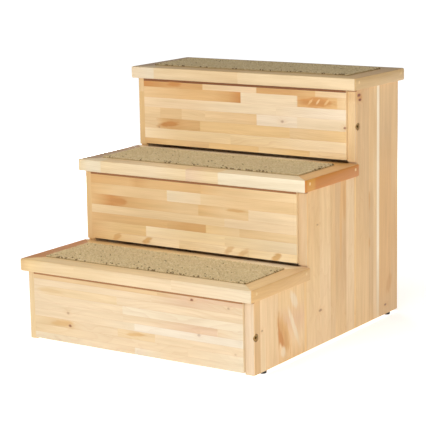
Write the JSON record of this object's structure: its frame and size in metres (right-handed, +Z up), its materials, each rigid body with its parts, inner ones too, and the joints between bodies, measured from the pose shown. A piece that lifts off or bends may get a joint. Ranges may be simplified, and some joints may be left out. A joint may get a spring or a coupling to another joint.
{
  "type": "pet stairs",
  "caption": "Three-step wooden pet stairs: pine side panels and risers, mitre-framed treads with inset carpet pads, furniture bolts and floor glides.",
  "frame": {"origin": "middle of the footprint on the floor, under the feet", "axes": "+Z up, front (lowest step) towards -Y, +X to the right as seen from the front"},
  "size_m": [0.4, 0.441, 0.381],
  "materials": {
    "pine": "edge-glued pine staves under clear satin lacquer",
    "plywood": "plain birch plywood, raw",
    "beech": "plain beech dowel",
    "carpet": "short looped pile, khaki beige",
    "yellow_zinc": "yellow zinc plating",
    "screw_steel": "bright zinc-plated steel",
    "black_plastic": "matt black plastic"
  },
  "bodies": {
    "root": {"back_panel": "pine", "barrel_nut_lower_left": "screw_steel", "barrel_nut_lower_right": "screw_steel", "barrel_nut_upper_left": "screw_steel", "barrel_nut_upper_right": "screw_steel", "bolt_lower_left": "yellow_zinc", "bolt_lower_right": "yellow_zinc", "bolt_upper_left": "yellow_zinc", "bolt_upper_right": "yellow_zinc", "carpet_lower": "carpet", "carpet_middle": "carpet", "carpet_upper": "carpet", "cleat_lower_left": "pine", "cleat_lower_right": "pine", "cleat_middle_left": "pine", "cleat_middle_right": "pine", "cleat_upper_left": "pine", "cleat_upper_right": "pine", "dowel_lower_left_high": "beech", "dowel_lower_right_high": "beech", "dowel_middle_left_high": "beech", "dowel_middle_left_low": "beech", "dowel_middle_right_high": "beech", "dowel_middle_right_low": "beech", "dowel_upper_left_high": "beech", "dowel_upper_right_high": "beech", "foot_front_left": "black_plastic", "foot_front_right": "black_plastic", "foot_nail_front_left": "screw_steel", "foot_nail_front_right": "screw_steel", "foot_nail_rear_left": "screw_steel", "foot_nail_rear_right": "screw_steel", "foot_rear_left": "black_plastic", "foot_rear_right": "black_plastic", "riser_lower": "pine", "riser_middle": "pine", "riser_upper": "pine", "side_panel_left": "pine", "side_panel_right": "pine", "tread_lower_front": "pine", "tread_lower_left": "pine", "tread_lower_panel": "plywood", "tread_lower_rear": "pine", "tread_lower_right": "pine", "tread_middle_front": "pine", "tread_middle_left": "pine", "tread_middle_panel": "plywood", "tread_middle_rear": "pine", "tread_middle_right": "pine", "tread_screw_lower_left": "screw_steel", "tread_screw_lower_right": "screw_steel", "tread_screw_middle_left": "screw_steel", "tread_screw_middle_right": "screw_steel", "tread_screw_upper_left": "screw_steel", "tread_screw_upper_right": "screw_steel", "tread_upper_front": "pine", "tread_upper_left": "pine", "tread_upper_panel": "plywood", "tread_upper_rear": "pine", "tread_upper_right": "pine"}
  },
  "joints": []
}
